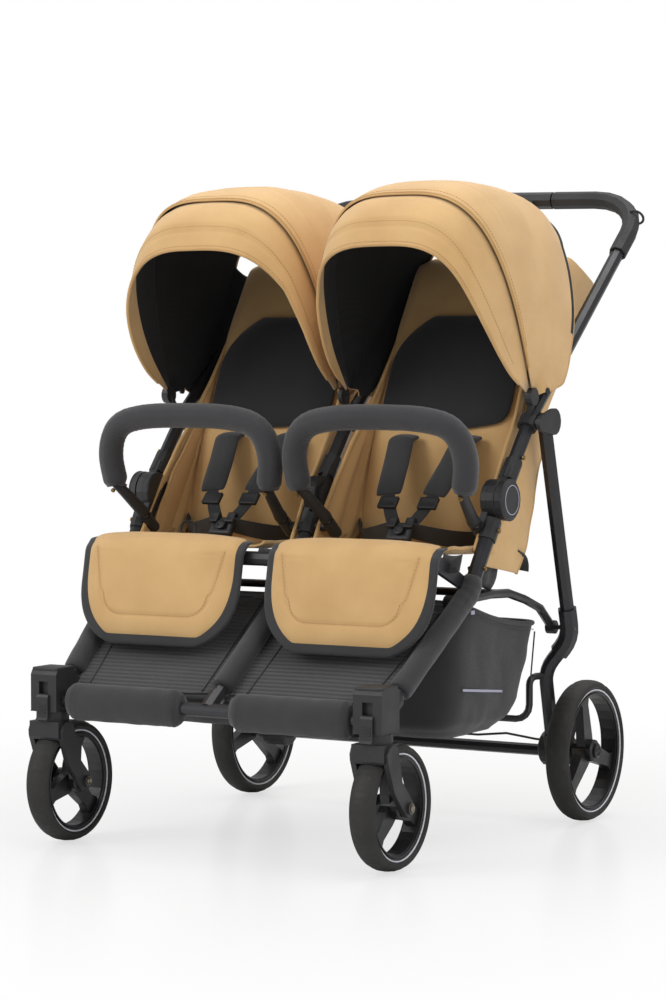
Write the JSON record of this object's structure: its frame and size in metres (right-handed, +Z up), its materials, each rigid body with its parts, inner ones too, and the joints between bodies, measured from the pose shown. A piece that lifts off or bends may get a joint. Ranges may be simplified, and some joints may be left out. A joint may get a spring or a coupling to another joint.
{
  "type": "double stroller",
  "caption": "Side-by-side double stroller with tan canopies and seats, black folding frame, swivel front wheels, bumper bars and a basket",
  "frame": {"origin": "centre of the bounding box's bottom, on the floor under the stroller", "axes": "+Z up, -Y the way the stroller faces (front), +X the right-hand side of the picture"},
  "size_m": [0.73, 0.9585, 1.0857],
  "materials": {
    "frame_paint": "satin anthracite powder coat",
    "black_plastic": "fine matte moulded black plastic",
    "handle_foam": "soft matte foam",
    "tyre_rubber": "matte black tyre",
    "tan_cloth": "tan woven cloth",
    "black_cloth": "black woven cloth",
    "cable_black": "smooth black cable sleeve"
  },
  "bodies": {
    "front_frame": {"front_leg_left": "frame_paint", "front_leg_right": "frame_paint", "centre_leg": "frame_paint", "front_cross_bar": "frame_paint", "seat_front_tube": "black_plastic", "caster_housing_left": "black_plastic", "caster_housing_right": "black_plastic", "fold_joint_lower_left": "black_plastic", "fold_joint_lower_right": "black_plastic", "fold_joint_lower_centre": "black_plastic", "calf_panel": "black_cloth", "basket": "black_cloth", "seat_sling_left": "tan_cloth", "seat_sling_right": "tan_cloth"},
    "upper_frame": {"handlebar_tube": "frame_paint", "grip_left": "handle_foam", "grip_right": "handle_foam", "handle_centre_joint": "black_plastic", "centre_post": "frame_paint", "fold_joint_upper_left": "black_plastic", "fold_joint_upper_right": "black_plastic", "fold_joint_upper_centre": "black_plastic", "upper_joint_left": "black_plastic", "upper_joint_right": "black_plastic", "canopy_hub_centre": "black_plastic", "canopy_hood_left": "tan_cloth", "canopy_hood_right": "tan_cloth"},
    "rear_frame": {"rear_leg_left": "frame_paint", "rear_leg_right": "frame_paint", "rear_axle_tube": "frame_paint", "rear_hub_left": "black_plastic", "rear_hub_right": "black_plastic", "basket_support_tube": "frame_paint", "brake_cable": "cable_black"},
    "seat_frame": {"seat_link_frame": "frame_paint"},
    "brake_pedal_body": {"brake_pedal": "black_plastic"},
    "caster_left": {"caster_fork_left": "black_plastic"},
    "front_wheel_left": {"front_tyre_left": "tyre_rubber", "front_rim_left": "black_plastic"},
    "rear_wheel_left": {"rear_tyre_left": "tyre_rubber", "rear_rim_left": "black_plastic"},
    "swivel_lock_body_left": {"swivel_lock_left": "black_plastic"},
    "bumper_left": {"bumper_bar_left": "black_cloth"},
    "legrest_body_left": {"legrest_left": "tan_cloth"},
    "visor_left": {"canopy_visor_left": "tan_cloth"},
    "back_left": {"backrest_left": "tan_cloth", "head_insert_left": "black_cloth", "harness_left": "black_cloth"},
    "caster_right": {"caster_fork_right": "black_plastic"},
    "front_wheel_right": {"front_tyre_right": "tyre_rubber", "front_rim_right": "black_plastic"},
    "rear_wheel_right": {"rear_tyre_right": "tyre_rubber", "rear_rim_right": "black_plastic"},
    "swivel_lock_body_right": {"swivel_lock_right": "black_plastic"},
    "bumper_right": {"bumper_bar_right": "black_cloth"},
    "legrest_body_right": {"legrest_right": "tan_cloth"},
    "visor_right": {"canopy_visor_right": "tan_cloth"},
    "back_right": {"backrest_right": "tan_cloth", "head_insert_right": "black_cloth", "harness_right": "black_cloth"}
  },
  "joints": [
    {"name": "frame_fold", "type": "hinge", "parent": "front_frame", "child": "upper_frame", "pos_m": [0, -0.092, 0.559], "axis": [-1, 0, 0], "range_deg": [0, 120], "deforming": ["basket", "seat_sling_left", "seat_sling_right"]},
    {"name": "rear_leg_fold", "type": "hinge", "parent": "upper_frame", "child": "rear_frame", "pos_m": [0, 0.052, 0.682], "axis": [-1, 0, 0], "range_deg": [-82, 0]},
    {"name": "seat_link_fold", "type": "hinge", "parent": "front_frame", "child": "seat_frame", "pos_m": [0, -0.2, 0.4], "axis": [-1, 0, 0], "range_deg": [0, 78.5]},
    {"name": "brake_press", "type": "hinge", "parent": "rear_frame", "child": "brake_pedal_body", "pos_m": [0.2775, 0.268, 0.152], "axis": [-1, 0, 0], "range_deg": [0, 25]},
    {"name": "caster_swivel_left", "type": "hinge", "parent": "front_frame", "child": "caster_left", "pos_m": [-0.3, -0.425, 0.2165], "axis": [0, 0, 1], "continuous": true},
    {"name": "front_wheel_spin_left", "type": "hinge", "parent": "caster_left", "child": "front_wheel_left", "pos_m": [-0.3, -0.38, 0.099], "axis": [1, 0, 0], "continuous": true},
    {"name": "rear_wheel_spin_left", "type": "hinge", "parent": "rear_frame", "child": "rear_wheel_left", "pos_m": [-0.332, 0.239, 0.12], "axis": [1, 0, 0], "continuous": true},
    {"name": "swivel_lock_slide_left", "type": "slide", "parent": "front_frame", "child": "swivel_lock_body_left", "axis": [0, 0, 1], "range_m": [0, 0.008]},
    {"name": "bumper_pull_left", "type": "slide", "parent": "front_frame", "child": "bumper_left", "axis": [0, -0.7762, 0.6305], "range_m": [0, 0.04]},
    {"name": "legrest_swing_left", "type": "hinge", "parent": "front_frame", "child": "legrest_body_left", "pos_m": [-0.178, -0.262, 0.463], "axis": [-1, 0, 0], "range_deg": [0, 50]},
    {"name": "visor_turn_left", "type": "hinge", "parent": "upper_frame", "child": "visor_left", "pos_m": [-0.352, -0.008, 0.723], "axis": [-1, 0, 0], "range_deg": [0, 55]},
    {"name": "backrest_recline_left", "type": "hinge", "parent": "upper_frame", "child": "back_left", "pos_m": [-0.171, -0.02, 0.465], "axis": [1, 0, 0], "range_deg": [-40, 0]},
    {"name": "caster_swivel_right", "type": "hinge", "parent": "front_frame", "child": "caster_right", "pos_m": [0.3, -0.425, 0.2165], "axis": [0, 0, 1], "continuous": true},
    {"name": "front_wheel_spin_right", "type": "hinge", "parent": "caster_right", "child": "front_wheel_right", "pos_m": [0.3, -0.38, 0.099], "axis": [1, 0, 0], "continuous": true},
    {"name": "rear_wheel_spin_right", "type": "hinge", "parent": "rear_frame", "child": "rear_wheel_right", "pos_m": [0.332, 0.239, 0.12], "axis": [1, 0, 0], "continuous": true},
    {"name": "swivel_lock_slide_right", "type": "slide", "parent": "front_frame", "child": "swivel_lock_body_right", "axis": [0, 0, 1], "range_m": [0, 0.008]},
    {"name": "bumper_pull_right", "type": "slide", "parent": "front_frame", "child": "bumper_right", "axis": [0, -0.7762, 0.6305], "range_m": [0, 0.04]},
    {"name": "legrest_swing_right", "type": "hinge", "parent": "front_frame", "child": "legrest_body_right", "pos_m": [0.178, -0.262, 0.463], "axis": [-1, 0, 0], "range_deg": [0, 50]},
    {"name": "visor_turn_right", "type": "hinge", "parent": "upper_frame", "child": "visor_right", "pos_m": [0.352, -0.008, 0.723], "axis": [-1, 0, 0], "range_deg": [0, 55]},
    {"name": "backrest_recline_right", "type": "hinge", "parent": "upper_frame", "child": "back_right", "pos_m": [0.171, -0.02, 0.465], "axis": [1, 0, 0], "range_deg": [-40, 0]}
  ],
  "couplings": [
    {"joint": "rear_leg_fold", "follows": "frame_fold", "ratio": -0.679},
    {"joint": "seat_link_fold", "follows": "frame_fold", "ratio": 0.65}
  ]
}
